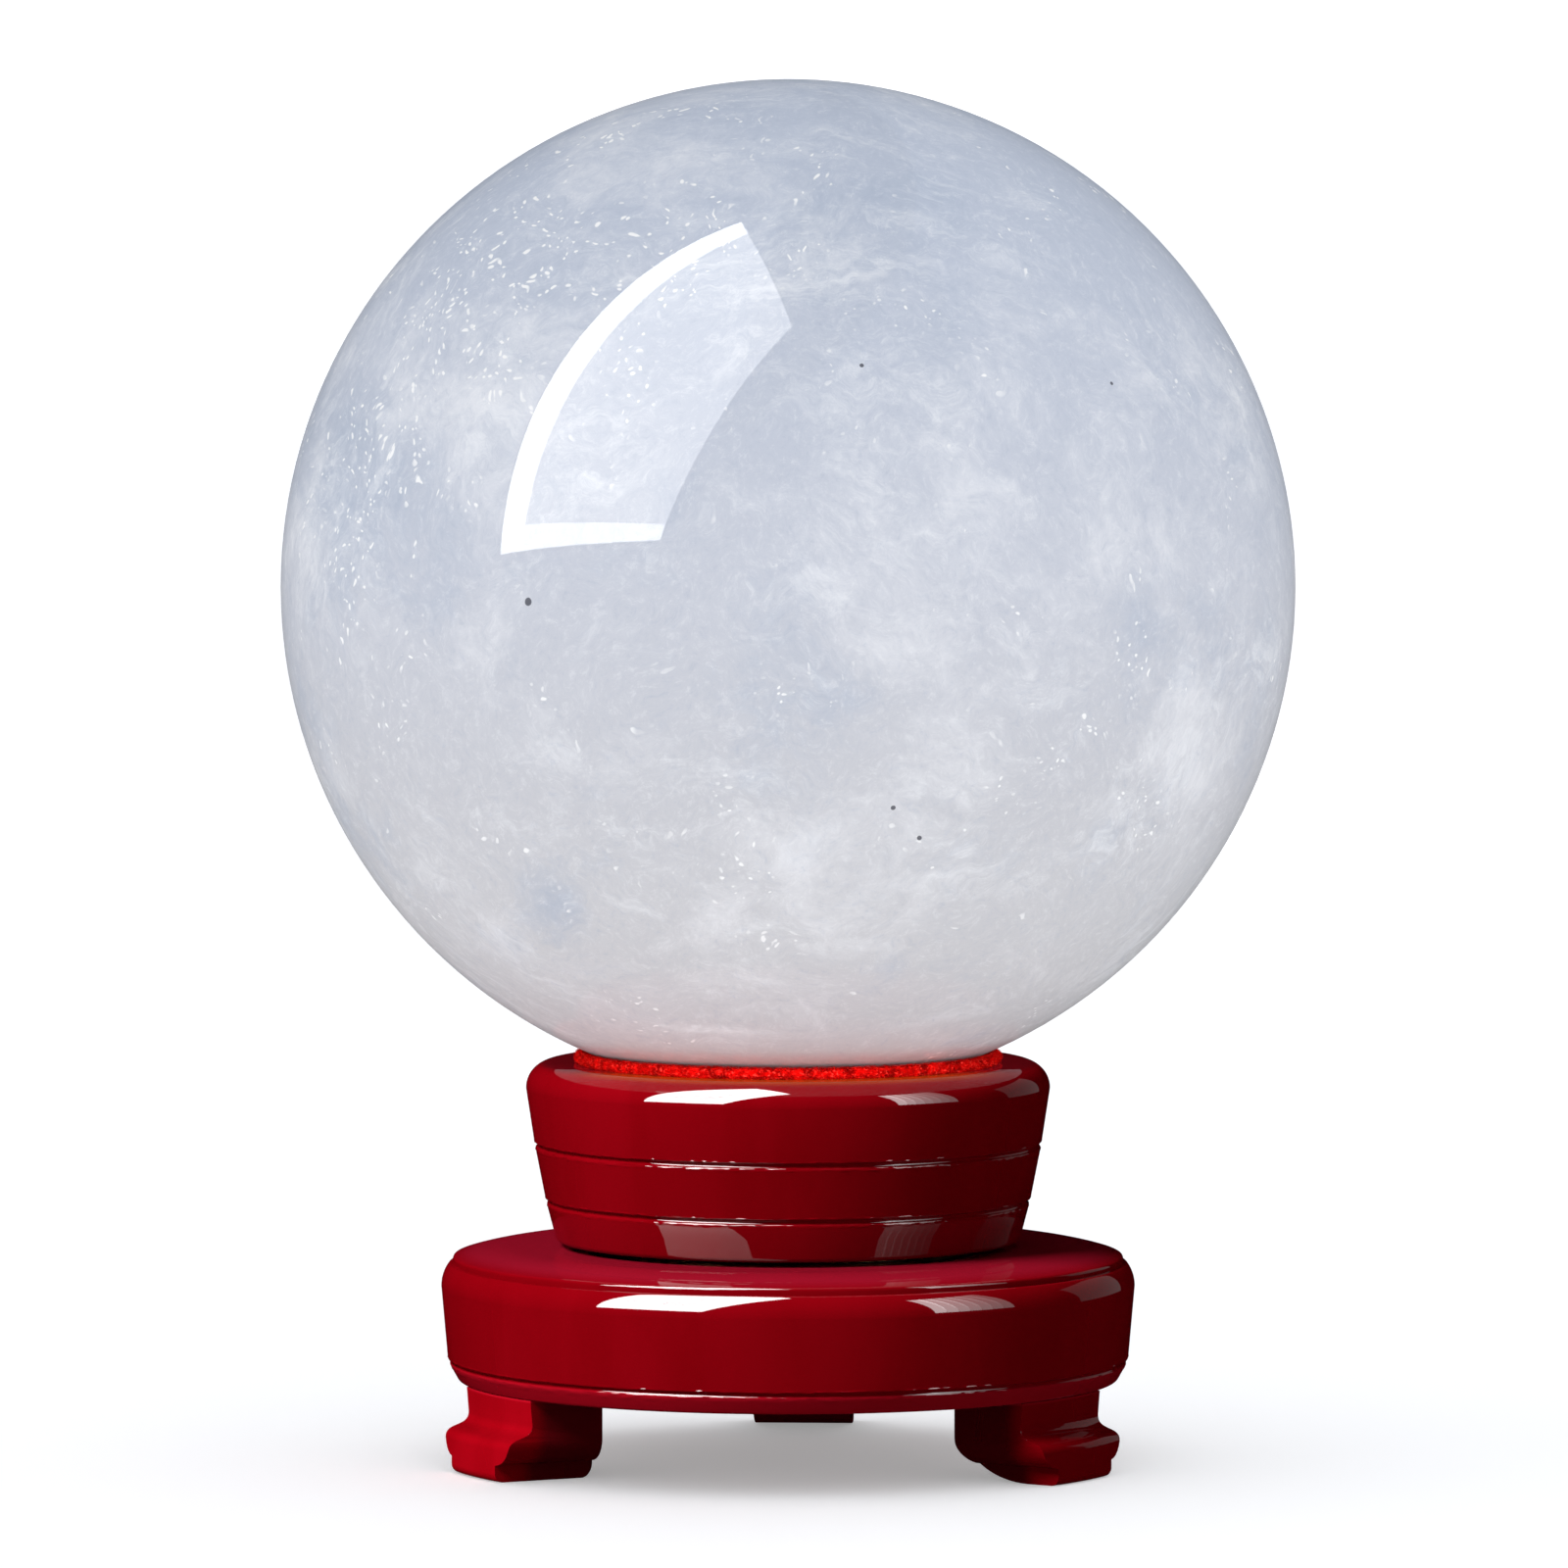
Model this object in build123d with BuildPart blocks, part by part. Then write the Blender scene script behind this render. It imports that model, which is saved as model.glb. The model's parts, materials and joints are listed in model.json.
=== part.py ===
from build123d import *
import os
from math import cos, radians, sin, sqrt

# A polished crystal ball on a two-tier stand of red lacquered wood.
# The upper tier is a cup that turns on a small ball bearing let into both tiers.
# The ball lies loose in the cup's flocked seat and lifts straight out.
# Millimetres, +Z up. The origin is on the floor, under the centre of the ball.

# Crystal ball
ball_diameter = 100.0

# Feet: three blocks under the lower disc, at these angles from +X
foot_angles = {"front_right": -33.0, "front_left": -153.0, "rear": 87.0}
foot_height = 8.1
foot_width = 14.4
foot_toe_width = 9.8
foot_shin_height = 4.1
foot_toe_height = 1.7
foot_neck_inset = 0.2
foot_neck_height = 5.7
foot_lip_reach = 2.3
foot_lip_height = 3.2
foot_lip_drop = 0.9
foot_length = 10.9
# how far the carver took the lower inner corner off each foot, as its run and its rise
foot_heel_cut = {"front_right": (7.2, 4.4), "front_left": (1.2, 1.5), "rear": (8.5, 5.0)}

# Dowels that hold each foot to the disc, placed from its heel
dowel_radius = 1.5
dowel_length = 8.0
dowel_insets = {"inner": 2.9, "outer": 6.3}
dowel_glue_gap = 0.05
dowel_end_gap = 0.4

# Lower disc: insets are from its widest radius, heights and drops from its own faces
disc_radius = 34.3
disc_thickness = 13.2
disc_bottom_inset = 1.7
disc_band_inset = 0.65
disc_band_height = 1.9
disc_widest_drop = 3.9
disc_shoulder_inset = 0.8
disc_shoulder_drop = 1.65
disc_step_inset = 1.15
disc_step_drop = 0.95
disc_crown_inset = 7.3
disc_edge_round = 0.3

# Cup: insets are from its widest radius, heights and drops from its own faces
turntable_gap = 0.5
cup_radius = 25.9
cup_height = 18.0
cup_bottom_inset = 3.0
cup_lower_groove_inset = 1.95
cup_lower_groove_height = 4.0
cup_upper_groove_inset = 0.85
cup_upper_groove_height = 9.6
cup_widest_drop = 2.35
cup_rim_round = 1.9
cup_rim_land = 3.2
cup_edge_round = 0.5

# Turned grooves in both tiers
groove_radius = 0.3

# Flocked seat pad
pad_thickness = 1.6
pad_proud = 0.8
pad_edge_round = 0.5
pad_side_gap = 0.2
pad_glue_gap = 0.1
ball_gap = 0.3

# Ball bearing between the tiers
plate_radius = 19.0
plate_thickness = 1.2
plate_recess_gap = 0.3
bearing_ball_radius = 1.6
bearing_ball_count = 12
race_inset = 4.0
race_depth = 0.5
race_gap = 0.05
cage_land = 0.7
cage_thickness = 0.8
cage_hole_gap = 0.08

# Hollow rivet that keeps the two plates together
rivet_radius = 3.0
rivet_wall = 1.0
rivet_flange_width = 1.4
rivet_flange_thickness = 0.5
rivet_fixed_gap = 0.03
rivet_running_gap = 0.08
rivet_end_gap = 0.1
rivet_pocket_gap = 0.5

# Countersunk screws that hold each plate to its tier
screw_circle_radius = 8.8
screw_radius = 0.9
screw_head_radius = 1.8
screw_length = 7.5
screw_tip_length = 1.6
screw_count = 3
screw_hole_gap = 0.1
pilot_gap = 0.05
pilot_end_gap = 0.5
cross_width = 0.5
cross_span = 2.2
cross_depth = 0.5
lower_screw_start = 60.0
upper_screw_start = 0.0

# Hole through the lower tier for the driver that reaches the upper screws
access_hole_radius = 2.5

# Worked out from the sizes above
ball_radius = ball_diameter / 2
disc_bottom_z = foot_height
disc_top_z = disc_bottom_z + disc_thickness
disc_bottom_radius = disc_radius - disc_bottom_inset
foot_neck_radius = disc_bottom_radius - foot_neck_inset
foot_lip_radius = disc_bottom_radius + foot_lip_reach
foot_heel_radius = foot_lip_radius - foot_length
cup_bottom_z = disc_top_z + turntable_gap
cup_top_z = cup_bottom_z + cup_height
cup_flat_radius = cup_radius - cup_rim_round
seat_radius = cup_flat_radius - cup_rim_land
pad_radius = seat_radius - pad_side_gap
pad_top_sphere = ball_radius + ball_gap
pad_bottom_sphere = pad_top_sphere + pad_thickness
seat_sphere = pad_bottom_sphere + pad_glue_gap
ball_z = cup_top_z + pad_proud + sqrt(pad_top_sphere**2 - pad_radius**2)
bearing_z = disc_top_z + turntable_gap / 2
race_radius = plate_radius - race_inset
plate_inner_offset = bearing_ball_radius - race_depth
plate_outer_offset = plate_inner_offset + plate_thickness
cage_half_width = bearing_ball_radius + cage_land
recess_radius = plate_radius + plate_recess_gap
pocket_radius = rivet_radius + rivet_flange_width + rivet_pocket_gap
pocket_depth = rivet_flange_thickness + rivet_end_gap + rivet_pocket_gap

os.makedirs("parts", exist_ok=True)


def save(piece, name):
    """Name a finished piece and write it out."""
    piece.part.label = name
    export_step(piece.part, f"parts/{name}.step")


def upright_plane(angle):
    """The upright plane through the axis: local X points outwards at this angle, local Y is up."""
    outwards = (cos(radians(angle)), sin(radians(angle)), 0)
    return Plane(origin=(0, 0, 0), x_dir=outwards, z_dir=(outwards[1], -outwards[0], 0))


def facing_plane(angle):
    """The upright plane across a foot: local X runs across the foot, local Y is up, Z points outwards."""
    outwards = (cos(radians(angle)), sin(radians(angle)), 0)
    return Plane(origin=(0, 0, 0), x_dir=(-outwards[1], outwards[0], 0), z_dir=outwards)


def ring_angles(count, start):
    """Evenly spaced angles for a ring of equal pieces."""
    return [start + turn * 360 / count for turn in range(count)]


def on_circle(radius, angle):
    """The X and Y of a point on a circle about the axis."""
    return radius * cos(radians(angle)), radius * sin(radians(angle))


def sphere_height(sphere_radius, radius):
    """Height of the underside of a sphere about the ball's centre, at this distance from the axis."""
    return ball_z - sqrt(sphere_radius**2 - radius**2)


def groove_section(radius, height):
    """Section of a half-round groove turned into the outside of a tier."""
    with BuildSketch(Plane.XZ) as section:
        with Locations((radius, height)):
            Circle(groove_radius)
    return section.sketch


def hole_circles(height, radius, points):
    """Equal circles at this height, from which holes are drilled."""
    with BuildSketch(Plane.XY.offset(height)) as circles:
        with Locations(*points):
            Circle(radius)
    return circles.sketch


def dowel_points(place):
    """Where the two dowels of a foot stand."""
    return [on_circle(foot_heel_radius + inset, foot_angles[place]) for inset in dowel_insets.values()]


def screw_section(x, y, side, gap):
    """Half a countersunk screw, or half its hole when a gap widens it. side is 1 when the screw points up."""
    head_z = bearing_z + side * plate_inner_offset
    head = screw_head_radius + gap
    shank = screw_radius + gap
    tip_z = head_z + side * screw_length
    with BuildSketch(Plane(origin=(x, y, 0), x_dir=(1, 0, 0), z_dir=(0, -1, 0))) as section:
        with BuildLine():
            Polyline((0, head_z), (head, head_z), (shank, head_z + side * (head - shank)),
                     (shank, tip_z - side * screw_tip_length), (0, tip_z), close=True)
        make_face()
    return section.sketch


def bearing_seat(face_z, side):
    """What is cut from a tier for its plate, the rivet's flange and the screws. side points into the wood."""
    floor_z = bearing_z + side * plate_outer_offset
    start = lower_screw_start if side < 0 else upper_screw_start
    with BuildPart() as seat:
        with BuildSketch(Plane.XY.offset(face_z)):
            Circle(recess_radius)
        extrude(amount=floor_z - face_z)
        with BuildSketch(Plane.XY.offset(floor_z)):
            Circle(pocket_radius)
        extrude(amount=side * pocket_depth)
        with BuildSketch(Plane.XY.offset(floor_z)):
            with PolarLocations(screw_circle_radius, screw_count, start_angle=start):
                Circle(screw_radius + pilot_gap)
        extrude(amount=side * (screw_length - plate_thickness + pilot_end_gap))
    return seat.part


def make_crystal_ball():
    with BuildPart(Plane.XY.offset(ball_z)) as crystal_ball:
        Sphere(ball_radius)
    save(crystal_ball, "crystal_ball")


def make_seat_pad():
    """The dished pad: both faces follow the ball, and its rounded edge stands above the cup's rim."""
    bottom_edge = (pad_radius, sphere_height(pad_bottom_sphere, pad_radius))
    top_edge = (pad_radius, sphere_height(pad_top_sphere, pad_radius))
    with BuildPart() as seat_pad:
        with BuildSketch(Plane.XZ):
            with BuildLine():
                RadiusArc((0, ball_z - pad_bottom_sphere), bottom_edge, -pad_bottom_sphere)
                Line(bottom_edge, top_edge)
                RadiusArc(top_edge, (0, ball_z - pad_top_sphere), pad_top_sphere)
                Line((0, ball_z - pad_top_sphere), (0, ball_z - pad_bottom_sphere))
            make_face()
        revolve(axis=Axis.Z)
        fillet(seat_pad.edges().sort_by(Axis.Z)[-1], radius=pad_edge_round)
    save(seat_pad, "seat_pad")


def make_cup():
    """The upper tier: three turned bands, a rounded rim, the dished seat and the bearing's recess."""
    bottom_radius = cup_radius - cup_bottom_inset
    lower_groove = (cup_radius - cup_lower_groove_inset, cup_bottom_z + cup_lower_groove_height)
    upper_groove = (cup_radius - cup_upper_groove_inset, cup_bottom_z + cup_upper_groove_height)
    widest = (cup_radius, cup_top_z - cup_widest_drop)
    seat_edge = (seat_radius, sphere_height(seat_sphere, seat_radius))
    recess = bearing_seat(cup_bottom_z, 1)
    with BuildPart() as cup:
        with BuildSketch(Plane.XZ):
            with BuildLine():
                Polyline((0, cup_bottom_z), (bottom_radius, cup_bottom_z), lower_groove, upper_groove, widest)
                TangentArc(widest, (cup_flat_radius, cup_top_z), tangent=(0, 1))
                Polyline((cup_flat_radius, cup_top_z), (0, cup_top_z), (0, cup_bottom_z))
            make_face()
        revolve(axis=Axis.Z)
        fillet(cup.edges().group_by(Axis.Z)[0], radius=cup_edge_round)
        with BuildSketch(Plane.XZ):
            with BuildLine():
                RadiusArc((0, ball_z - seat_sphere), seat_edge, -seat_sphere)
                Polyline(seat_edge, (seat_radius, ball_z), (0, ball_z), (0, ball_z - seat_sphere))
            make_face()
        revolve(axis=Axis.Z, mode=Mode.SUBTRACT)
        for groove in (lower_groove, upper_groove):
            revolve(groove_section(*groove), axis=Axis.Z, mode=Mode.SUBTRACT)
        add(recess, mode=Mode.SUBTRACT)
    save(cup, "cup")


def make_base_disc():
    """The lower tier: a thick disc with a crowned top, a stepped round edge and a narrow band at its foot."""
    band_line = (disc_radius - disc_band_inset, disc_bottom_z + disc_band_height)
    widest = (disc_radius, disc_top_z - disc_widest_drop)
    shoulder = (disc_radius - disc_shoulder_inset, disc_top_z - disc_shoulder_drop)
    step_foot = (disc_radius - disc_step_inset, disc_top_z - disc_shoulder_drop)
    step_top = (disc_radius - disc_step_inset, disc_top_z - disc_step_drop)
    crown = (disc_radius - disc_crown_inset, disc_top_z)
    recess = bearing_seat(disc_top_z, -1)
    access_point = on_circle(screw_circle_radius, upper_screw_start)
    with BuildPart() as base_disc:
        with BuildSketch(Plane.XZ):
            with BuildLine():
                Polyline((0, disc_bottom_z), (disc_bottom_radius, disc_bottom_z), band_line, widest)
                TangentArc(widest, shoulder, tangent=(0, 1))
                Polyline(shoulder, step_foot, step_top)
                TangentArc(crown, step_top, tangent=(1, 0))
                Polyline(crown, (0, disc_top_z), (0, disc_bottom_z))
            make_face()
        revolve(axis=Axis.Z)
        fillet(base_disc.edges().group_by(Axis.Z)[0], radius=disc_edge_round)
        revolve(groove_section(*band_line), axis=Axis.Z, mode=Mode.SUBTRACT)
        add(recess, mode=Mode.SUBTRACT)
        extrude(hole_circles(disc_bottom_z, access_hole_radius, [access_point]),
                amount=disc_thickness, mode=Mode.SUBTRACT)
        for place in foot_angles:
            extrude(hole_circles(disc_bottom_z, dowel_radius + dowel_glue_gap, dowel_points(place)),
                    amount=dowel_length / 2 + dowel_end_gap, mode=Mode.SUBTRACT)
    save(base_disc, "base_disc")


def make_foot(place):
    """One foot: its outer face is turned with the disc, then its sides, toe and heel are sawn to shape."""
    angle = foot_angles[place]
    heel_run, heel_rise = foot_heel_cut[place]
    top = (disc_bottom_radius, foot_height)
    neck = (foot_neck_radius, foot_neck_height)
    lip = (foot_lip_radius, foot_lip_height)
    toe = (foot_lip_radius, foot_lip_drop)
    sole = (foot_lip_radius - foot_lip_drop, 0)
    shin = (foot_width / 2, foot_shin_height)
    toe_corner = (foot_toe_width / 2, foot_toe_height)
    with BuildPart() as foot:
        with BuildSketch(upright_plane(angle - 90)):
            with BuildLine():
                Line(top, neck)
                Spline(neck, lip, tangents=[(0, -1), (0, -1)])
                Line(lip, toe)
                TangentArc(toe, sole, tangent=(0, -1))
                Polyline(sole, (0, 0), (0, foot_height), top)
            make_face()
        revolve(axis=Axis.Z, revolution_arc=180)
        with BuildSketch(facing_plane(angle)):
            with BuildLine():
                Polyline((0, 0), (0, foot_height), (foot_width / 2, foot_height), shin)
                TangentArc(shin, toe_corner, tangent=(0, -1))
                Polyline(toe_corner, (foot_toe_width / 2, 0), (0, 0))
            make_face()
            mirror(about=Plane.YZ)
        extrude(amount=foot_lip_radius, mode=Mode.INTERSECT)
        with BuildSketch(upright_plane(angle)):
            with BuildLine():
                Polyline((foot_heel_radius, heel_rise), (foot_heel_radius, foot_height), (0, foot_height),
                         (0, 0), (foot_heel_radius + heel_run, 0))
                EllipticalCenterArc((foot_heel_radius + heel_run, heel_rise), heel_run, heel_rise,
                                    start_angle=180, arc_size=90)
            make_face()
        extrude(amount=foot_width, both=True, mode=Mode.SUBTRACT)
        extrude(hole_circles(foot_height, dowel_radius + dowel_glue_gap, dowel_points(place)),
                amount=-dowel_length / 2, mode=Mode.SUBTRACT)
    save(foot, f"foot_{place}")


def make_dowel(place, position):
    """A dowel standing on the floor of its hole in the foot."""
    point = on_circle(foot_heel_radius + dowel_insets[position], foot_angles[place])
    with BuildPart() as dowel:
        extrude(hole_circles(disc_bottom_z - dowel_length / 2, dowel_radius, [point]), amount=dowel_length)
    save(dowel, f"dowel_{place}_{position}")


def make_bearing_plate(name, side, rivet_gap):
    """A steel plate with a ball race. side is -1 for the plate in the disc and 1 for the one in the cup."""
    start = lower_screw_start if side < 0 else upper_screw_start
    inner_z = bearing_z + side * plate_inner_offset
    screw_points = [on_circle(screw_circle_radius, angle) for angle in ring_angles(screw_count, start)]
    access_point = on_circle(screw_circle_radius, upper_screw_start)
    with BuildPart() as plate:
        with BuildSketch(Plane.XY.offset(inner_z)):
            Circle(plate_radius)
            Circle(rivet_radius + rivet_gap, mode=Mode.SUBTRACT)
        extrude(amount=side * plate_thickness)
        with BuildSketch(Plane.XZ):
            with Locations((race_radius, bearing_z)):
                Circle(bearing_ball_radius + race_gap)
        revolve(axis=Axis.Z, mode=Mode.SUBTRACT)
        for x, y in screw_points:
            revolve(screw_section(x, y, side, screw_hole_gap), axis=Axis((x, y, 0), (0, 0, 1)),
                    mode=Mode.SUBTRACT)
        if side < 0:
            extrude(hole_circles(inner_z, access_hole_radius, [access_point]),
                    amount=-plate_thickness, mode=Mode.SUBTRACT)
    save(plate, name)


def make_screw(name, x, y, side):
    """A countersunk wood screw with a cross recess, its head flush with the inner face of its plate."""
    head_z = bearing_z + side * plate_inner_offset
    with BuildPart() as screw:
        revolve(screw_section(x, y, side, 0), axis=Axis((x, y, 0), (0, 0, 1)))
        with BuildSketch(Plane.XY.offset(head_z)):
            with Locations((x, y)):
                Rectangle(cross_span, cross_width)
                Rectangle(cross_width, cross_span)
        extrude(amount=side * cross_depth, mode=Mode.SUBTRACT)
    save(screw, name)


def make_pivot_rivet():
    """The hollow rivet: clinched tight under the lower plate, and running free in the upper one."""
    bottom_z = bearing_z - plate_outer_offset - rivet_flange_thickness
    lower_flange_z = bearing_z - plate_outer_offset
    upper_flange_z = bearing_z + plate_outer_offset + rivet_end_gap
    top_z = upper_flange_z + rivet_flange_thickness
    bore_radius = rivet_radius - rivet_wall
    flange_radius = rivet_radius + rivet_flange_width
    with BuildPart() as pivot_rivet:
        with BuildSketch(Plane.XZ):
            with BuildLine():
                Polyline((bore_radius, bottom_z), (flange_radius, bottom_z),
                         (flange_radius, lower_flange_z), (rivet_radius, lower_flange_z),
                         (rivet_radius, upper_flange_z), (flange_radius, upper_flange_z),
                         (flange_radius, top_z), (bore_radius, top_z), close=True)
            make_face()
        revolve(axis=Axis.Z)
    save(pivot_rivet, "pivot_rivet")


def make_ball_cage():
    """The flat ring that keeps the bearing balls apart."""
    with BuildPart() as ball_cage:
        with BuildSketch(Plane.XY.offset(bearing_z - cage_thickness / 2)):
            Circle(race_radius + cage_half_width)
            Circle(race_radius - cage_half_width, mode=Mode.SUBTRACT)
            with PolarLocations(race_radius, bearing_ball_count):
                Circle(bearing_ball_radius + cage_hole_gap, mode=Mode.SUBTRACT)
        extrude(amount=cage_thickness)
    save(ball_cage, "ball_cage")


def make_bearing_ball(name, x, y):
    with BuildPart(Plane.XY.offset(bearing_z)) as bearing_ball:
        with Locations((x, y)):
            Sphere(bearing_ball_radius)
    save(bearing_ball, name)


make_crystal_ball()
make_seat_pad()
make_cup()
make_base_disc()
for foot_place in foot_angles:
    make_foot(foot_place)
    for dowel_position in dowel_insets:
        make_dowel(foot_place, dowel_position)
make_bearing_plate("lower_plate", -1, rivet_fixed_gap)
make_bearing_plate("upper_plate", 1, rivet_running_gap)
make_pivot_rivet()
for index, screw_angle in enumerate(ring_angles(screw_count, lower_screw_start)):
    make_screw(f"lower_screw_{index + 1}", *on_circle(screw_circle_radius, screw_angle), -1)
for index, screw_angle in enumerate(ring_angles(screw_count, upper_screw_start)):
    make_screw(f"upper_screw_{index + 1}", *on_circle(screw_circle_radius, screw_angle), 1)
make_ball_cage()
for index, ball_angle in enumerate(ring_angles(bearing_ball_count, 0)):
    make_bearing_ball(f"bearing_ball_{index + 1:02d}", *on_circle(race_radius, ball_angle))
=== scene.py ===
import json
import math

import bmesh
import bpy
from mathutils import Matrix, Vector, noise


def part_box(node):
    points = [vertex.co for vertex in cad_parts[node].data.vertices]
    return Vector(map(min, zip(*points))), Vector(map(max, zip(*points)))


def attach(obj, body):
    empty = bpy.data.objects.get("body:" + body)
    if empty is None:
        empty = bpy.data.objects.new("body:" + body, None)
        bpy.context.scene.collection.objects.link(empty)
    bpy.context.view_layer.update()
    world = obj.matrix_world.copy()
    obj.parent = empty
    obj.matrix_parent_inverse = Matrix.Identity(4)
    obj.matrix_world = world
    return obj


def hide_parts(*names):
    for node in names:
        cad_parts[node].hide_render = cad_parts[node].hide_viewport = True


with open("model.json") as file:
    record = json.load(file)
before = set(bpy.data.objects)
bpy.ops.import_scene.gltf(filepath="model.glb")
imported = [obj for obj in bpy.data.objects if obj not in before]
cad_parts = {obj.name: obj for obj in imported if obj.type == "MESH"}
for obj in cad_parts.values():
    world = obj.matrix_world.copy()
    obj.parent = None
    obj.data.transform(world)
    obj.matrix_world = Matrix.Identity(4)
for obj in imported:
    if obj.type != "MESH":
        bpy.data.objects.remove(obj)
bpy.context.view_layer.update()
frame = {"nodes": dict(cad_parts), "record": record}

# Places read from the frame, in metres
ball_low, ball_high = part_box("crystal_ball")
cup_low, cup_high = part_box("cup")
disc_low, disc_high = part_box("base_disc")
pad_low, pad_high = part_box("seat_pad")
ball_radius = (ball_high[2] - ball_low[2]) / 2
ball_centre = Vector((0, 0, (ball_high[2] + ball_low[2]) / 2))
disc_top_z = disc_high[2]

# Sizes of the turned shapes, in metres
MM = 0.001
RIM_WEAR = 0.3 * MM  # how far the cup's rim is rubbed down
GROOVE = 0.3 * MM  # half width and depth of the turned grooves
RECESS_GAP = 0.3 * MM  # room round the bearing's plates
POCKET_GAP = 0.5 * MM  # room round the rivet's flanges
cup_rim_z = cup_high[2] - RIM_WEAR


# ---------------------------------------------------------------- shader kit

class Value:
    """A socket that Python's operators can add to, multiply and so on."""

    def __init__(self, finish, socket):
        self.finish = finish
        self.socket = socket

    def maths(self, operation, *values):
        return self.finish.node("ShaderNodeMath", {"operation": operation}, dict(enumerate(values)))

    def __add__(self, other):
        return self.maths("ADD", self, other)

    def __sub__(self, other):
        return self.maths("SUBTRACT", self, other)

    def __rsub__(self, other):
        return self.maths("SUBTRACT", other, self)

    def __mul__(self, other):
        return self.maths("MULTIPLY", self, other)

    def above(self, edge):
        return self.maths("GREATER_THAN", self, edge)

    __radd__ = __add__
    __rmul__ = __mul__


class Finish:
    """A material being mixed. Its methods add nodes and give back what they make as a Value."""

    def __init__(self, name):
        self.material = bpy.data.materials.new(name)
        self.material.use_nodes = True
        self.tree = self.material.node_tree
        self.tree.nodes.clear()
        self.place = self.node("ShaderNodeTexCoord", output="Object")

    def node(self, kind, settings=None, values=None, output=0):
        node = self.tree.nodes.new(kind)
        for name, setting in (settings or {}).items():
            if name == "stops":
                self.set_stops(node.color_ramp, setting)
            else:
                setattr(node, name, setting)
        for name, value in (values or {}).items():
            if isinstance(value, Value):
                self.tree.links.new(value.socket, node.inputs[name])
            else:
                node.inputs[name].default_value = value
        return Value(self, node.outputs[output])

    def set_stops(self, ramp, stops):
        while len(ramp.elements) < len(stops):
            ramp.elements.new(1.0)
        for element, (position, colour) in zip(ramp.elements, stops):
            element.position = position
            element.color = (*colour, 1.0)

    def mapped(self, scale=(1, 1, 1), turn=(0, 0, 0), shift=(0, 0, 0), of=None):
        """A place stretched, turned in degrees and shifted."""
        turn = [math.radians(angle) for angle in turn]
        values = {"Vector": of or self.place, "Scale": scale, "Rotation": turn, "Location": shift}
        return self.node("ShaderNodeMapping", None, values)

    def noise(self, scale, detail=4.0, roughness=0.5, distortion=0.0, of=None, output="Fac"):
        values = {"Vector": of or self.place, "Scale": scale, "Detail": detail, "Roughness": roughness,
                  "Distortion": distortion}
        return self.node("ShaderNodeTexNoise", None, values, output)

    def cells(self, scale, of=None, output="Distance"):
        return self.node("ShaderNodeTexVoronoi", None, {"Vector": of or self.place, "Scale": scale}, output)

    def between(self, value, low, high, start=0.0, end=1.0):
        """The value's place between low and high, eased and held between start and end."""
        values = {"Value": value, "From Min": low, "From Max": high, "To Min": start, "To Max": end}
        return self.node("ShaderNodeMapRange", {"interpolation_type": "SMOOTHSTEP"}, values)

    def blend(self, factor, first, second):
        """One colour over another, by a factor."""
        first = first if isinstance(first, Value) else (*first, 1.0)
        second = second if isinstance(second, Value) else (*second, 1.0)
        return self.node("ShaderNodeMix", {"data_type": "RGBA"}, {0: factor, 6: first, 7: second}, output=2)

    def vector_maths(self, operation, values, output="Vector"):
        return self.node("ShaderNodeVectorMath", {"operation": operation}, values, output)

    def moved(self, vector, offset, amount):
        """A vector pushed by a noise colour, for warped patterns."""
        centred = self.vector_maths("SUBTRACT", {0: offset, 1: (0.5, 0.5, 0.5)})
        scaled = self.vector_maths("SCALE", {0: centred, "Scale": amount})
        return self.vector_maths("ADD", {0: vector, 1: scaled})

    def near(self, point, reach):
        """One at a point, easing to nothing at this reach from it."""
        away = self.vector_maths("DISTANCE", {0: self.place, 1: tuple(point)}, output="Value")
        return self.between(away, reach, 0.0)

    def height(self):
        """The Z of the surface point, in metres."""
        return self.node("ShaderNodeSeparateXYZ", None, {"Vector": self.place}, output="Z")

    def depth(self):
        """The Y of the surface point, in metres: less than nothing at the front."""
        return self.node("ShaderNodeSeparateXYZ", None, {"Vector": self.place}, output="Y")

    def radius(self):
        """The distance of the surface point from the stand's axis, in metres."""
        level = self.vector_maths("MULTIPLY", {0: self.place, 1: (1, 1, 0)})
        return self.vector_maths("LENGTH", {0: level}, output="Value")

    def bump(self, height, depth):
        """A normal that follows a height, whose full range is depth in metres."""
        return self.node("ShaderNodeBump", None, {"Height": height, "Distance": depth, "Strength": 1.0})

    def surface(self, **values):
        """The principled shader and the output, from socket names with underscores for spaces."""
        named = {name.replace("_", " "): value for name, value in values.items()}
        shader = self.node("ShaderNodeBsdfPrincipled", None, named)
        output = self.tree.nodes.new("ShaderNodeOutputMaterial")
        self.tree.links.new(shader.socket, output.inputs["Surface"])
        return self.material


# ---------------------------------------------------------------- finishes

def on_ball(across, up):
    """A point on the front of the ball, from how far it lies to the right of and above the centre in mm."""
    across, up = across * MM, up * MM
    deep = math.sqrt(ball_radius**2 - across**2 - up**2)
    return ball_centre + Vector((across, -deep, up))


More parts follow.
